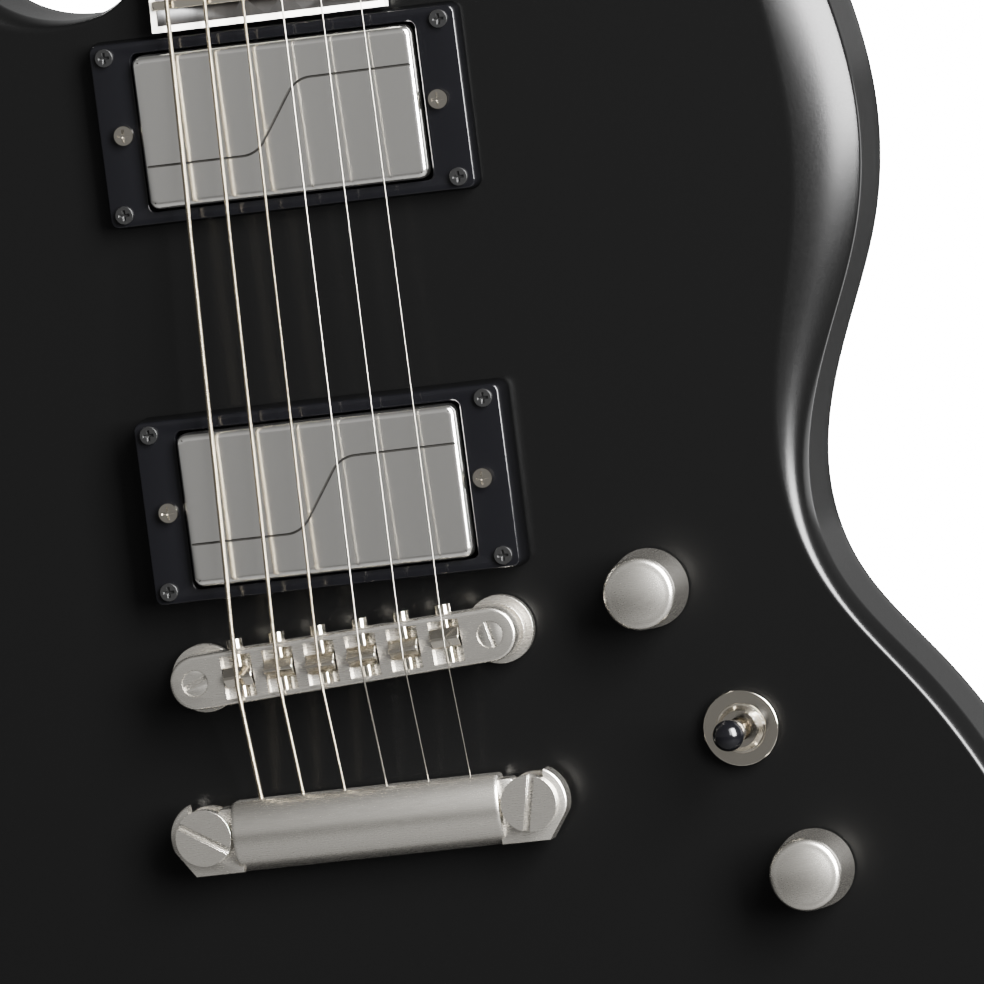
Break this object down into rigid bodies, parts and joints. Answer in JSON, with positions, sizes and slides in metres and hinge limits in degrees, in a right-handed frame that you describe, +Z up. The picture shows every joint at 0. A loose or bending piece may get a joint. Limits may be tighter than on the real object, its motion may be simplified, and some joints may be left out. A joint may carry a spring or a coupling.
{
  "type": "electric guitar",
  "caption": "Solid-body electric guitar with a bevelled double-cutaway body, two covered pickups, bridge, stop tailpiece, knobs, toggle switch and geared tuners.",
  "frame": {"origin": "middle of the neck's thickness at the nut, where a wall hanger's fork carries it", "axes": "+X towards the treble side, -Y out of the face, +Z up the neck"},
  "size_m": [0.3338, 0.1063, 0.9876],
  "materials": {
    "satin_black_lacquer": "satin black lacquer over wood",
    "ebony": "oiled",
    "white_plastic": "polished",
    "pearl": "polished pearloid",
    "bone": "polished",
    "nickel_silver": "polished",
    "satin_nickel": "satin",
    "bright_nickel": "bright",
    "steel": "plain",
    "black_plastic": "gloss",
    "black_steel": "black oxide",
    "pickup_core": "moulded",
    "battery_jacket": "plain",
    "string_wire": "wound"
  },
  "bodies": {
    "root": {"body": "satin_black_lacquer", "neck": "satin_black_lacquer", "fingerboard": "ebony", "fingerboard_binding": "white_plastic", "frets": "nickel_silver", "inlays": "pearl", "nut": "bone", "truss_rod": "steel", "truss_rod_cover": "black_plastic", "control_cover": "black_plastic", "battery": "battery_jacket", "jack_plate": "satin_nickel", "jack_socket": "bright_nickel", "strap_buttons": "satin_nickel", "neck_pickup_ring": "black_plastic", "bridge_pickup_ring": "black_plastic", "pickup_springs": "steel", "height_screws": "bright_nickel", "bridge_frame": "satin_nickel", "intonation_screws": "bright_nickel", "tailpiece": "satin_nickel", "studs": "satin_nickel", "stud_bushings": "bright_nickel", "pots": "steel", "panel_nuts": "bright_nickel", "toggle_frame": "bright_nickel", "tuner_housings": "satin_nickel", "tuner_fasteners": "satin_nickel", "strings": "string_wire", "black_screws": "black_steel"},
    "neck_pickup": {"neck_pickup_cover": "satin_nickel", "neck_pickup_core": "pickup_core"},
    "bridge_pickup": {"bridge_pickup_cover": "satin_nickel", "bridge_pickup_core": "pickup_core"},
    "volume_slide": {"volume_slider": "pickup_core"},
    "volume_turn": {"volume_knob": "satin_nickel", "volume_shaft": "steel"},
    "tone_slide": {"tone_slider": "pickup_core"},
    "tone_turn": {"tone_knob": "satin_nickel", "tone_shaft": "steel"},
    "toggle": {"toggle_lever": "bright_nickel", "toggle_tip": "black_plastic"},
    "saddle_1": {"saddle_1": "bright_nickel"},
    "saddle_2": {"saddle_2": "bright_nickel"},
    "saddle_3": {"saddle_3": "bright_nickel"},
    "saddle_4": {"saddle_4": "bright_nickel"},
    "saddle_5": {"saddle_5": "bright_nickel"},
    "saddle_6": {"saddle_6": "bright_nickel"},
    "tuner_button_1": {"tuner_button_1": "satin_nickel"},
    "tuner_post_1": {"tuner_post_1": "bright_nickel"},
    "tuner_button_2": {"tuner_button_2": "satin_nickel"},
    "tuner_post_2": {"tuner_post_2": "bright_nickel"},
    "tuner_button_3": {"tuner_button_3": "satin_nickel"},
    "tuner_post_3": {"tuner_post_3": "bright_nickel"},
    "tuner_button_4": {"tuner_button_4": "satin_nickel"},
    "tuner_post_4": {"tuner_post_4": "bright_nickel"},
    "tuner_button_5": {"tuner_button_5": "satin_nickel"},
    "tuner_post_5": {"tuner_post_5": "bright_nickel"},
    "tuner_button_6": {"tuner_button_6": "satin_nickel"},
    "tuner_post_6": {"tuner_post_6": "bright_nickel"}
  },
  "joints": [
    {"name": "neck_pickup_height", "type": "slide", "parent": "root", "child": "neck_pickup", "axis": [0, -1, 0], "range_m": [-0.003, 0.0008], "deforming": ["pickup_springs"]},
    {"name": "bridge_pickup_height", "type": "slide", "parent": "root", "child": "bridge_pickup", "axis": [0, -1, 0], "range_m": [-0.003, 0.0008], "deforming": ["pickup_springs"]},
    {"name": "volume_pull", "type": "slide", "parent": "root", "child": "volume_slide", "axis": [0, -1, 0], "range_m": [0, 0.004]},
    {"name": "volume_turn", "type": "hinge", "parent": "volume_slide", "child": "volume_turn", "pos_m": [0.0746, -0.033, -0.62419], "axis": [0, -1, 0], "range_deg": [-135, 135]},
    {"name": "tone_pull", "type": "slide", "parent": "root", "child": "tone_slide", "axis": [0, -1, 0], "range_m": [0, 0.004]},
    {"name": "tone_turn", "type": "hinge", "parent": "tone_slide", "child": "tone_turn", "pos_m": [0.1064, -0.033, -0.69599], "axis": [0, -1, 0], "range_deg": [-135, 135]},
    {"name": "toggle_throw", "type": "hinge", "parent": "root", "child": "toggle", "pos_m": [0.0929, -0.029, -0.66019], "axis": [1, 0, 0], "range_deg": [-12, 12]},
    {"name": "saddle_1_slide", "type": "slide", "parent": "root", "child": "saddle_1", "axis": [-0.0541, 0, 0.9985], "range_m": [-0.0018, 0.0018]},
    {"name": "saddle_2_slide", "type": "slide", "parent": "root", "child": "saddle_2", "axis": [-0.0541, 0, 0.9985], "range_m": [-0.0018, 0.0018]},
    {"name": "saddle_3_slide", "type": "slide", "parent": "root", "child": "saddle_3", "axis": [-0.0541, 0, 0.9985], "range_m": [-0.0018, 0.0018]},
    {"name": "saddle_4_slide", "type": "slide", "parent": "root", "child": "saddle_4", "axis": [-0.0541, 0, 0.9985], "range_m": [-0.0018, 0.0018]},
    {"name": "saddle_5_slide", "type": "slide", "parent": "root", "child": "saddle_5", "axis": [-0.0541, 0, 0.9985], "range_m": [-0.0018, 0.0018]},
    {"name": "saddle_6_slide", "type": "slide", "parent": "root", "child": "saddle_6", "axis": [-0.0541, 0, 0.9985], "range_m": [-0.0018, 0.0018]},
    {"name": "tuner_button_1_turn", "type": "hinge", "parent": "root", "child": "tuner_button_1", "pos_m": [-0.037, 0.02639, 0.04496], "axis": [-1, 0, 0], "continuous": true},
    {"name": "tuner_post_1_turn", "type": "hinge", "parent": "root", "child": "tuner_post_1", "pos_m": [-0.027, 0.00612, 0.04387], "axis": [0, -0.9659, 0.2588], "continuous": true},
    {"name": "tuner_button_2_turn", "type": "hinge", "parent": "root", "child": "tuner_button_2", "pos_m": [-0.037, 0.03726, 0.08553], "axis": [-1, 0, 0], "continuous": true},
    {"name": "tuner_post_2_turn", "type": "hinge", "parent": "root", "child": "tuner_post_2", "pos_m": [-0.027, 0.01699, 0.08443], "axis": [0, -0.9659, 0.2588], "continuous": true},
    {"name": "tuner_button_3_turn", "type": "hinge", "parent": "root", "child": "tuner_button_3", "pos_m": [-0.037, 0.04813, 0.12609], "axis": [-1, 0, 0], "continuous": true},
    {"name": "tuner_post_3_turn", "type": "hinge", "parent": "root", "child": "tuner_post_3", "pos_m": [-0.027, 0.02786, 0.125], "axis": [0, -0.9659, 0.2588], "continuous": true},
    {"name": "tuner_button_4_turn", "type": "hinge", "parent": "root", "child": "tuner_button_4", "pos_m": [0.037, 0.04813, 0.12609], "axis": [1, 0, 0], "continuous": true},
    {"name": "tuner_post_4_turn", "type": "hinge", "parent": "root", "child": "tuner_post_4", "pos_m": [0.027, 0.02786, 0.125], "axis": [0, -0.9659, 0.2588], "continuous": true},
    {"name": "tuner_button_5_turn", "type": "hinge", "parent": "root", "child": "tuner_button_5", "pos_m": [0.037, 0.03726, 0.08553], "axis": [1, 0, 0], "continuous": true},
    {"name": "tuner_post_5_turn", "type": "hinge", "parent": "root", "child": "tuner_post_5", "pos_m": [0.027, 0.01699, 0.08443], "axis": [0, -0.9659, 0.2588], "continuous": true},
    {"name": "tuner_button_6_turn", "type": "hinge", "parent": "root", "child": "tuner_button_6", "pos_m": [0.037, 0.02639, 0.04496], "axis": [1, 0, 0], "continuous": true},
    {"name": "tuner_post_6_turn", "type": "hinge", "parent": "root", "child": "tuner_post_6", "pos_m": [0.027, 0.00612, 0.04387], "axis": [0, -0.9659, 0.2588], "continuous": true}
  ],
  "couplings": [
    {"joint": "tuner_post_1_turn", "follows": "tuner_button_1_turn", "ratio": -0.055556},
    {"joint": "tuner_post_2_turn", "follows": "tuner_button_2_turn", "ratio": -0.055556},
    {"joint": "tuner_post_3_turn", "follows": "tuner_button_3_turn", "ratio": -0.055556},
    {"joint": "tuner_post_4_turn", "follows": "tuner_button_4_turn", "ratio": 0.055556},
    {"joint": "tuner_post_5_turn", "follows": "tuner_button_5_turn", "ratio": 0.055556},
    {"joint": "tuner_post_6_turn", "follows": "tuner_button_6_turn", "ratio": 0.055556}
  ]
}
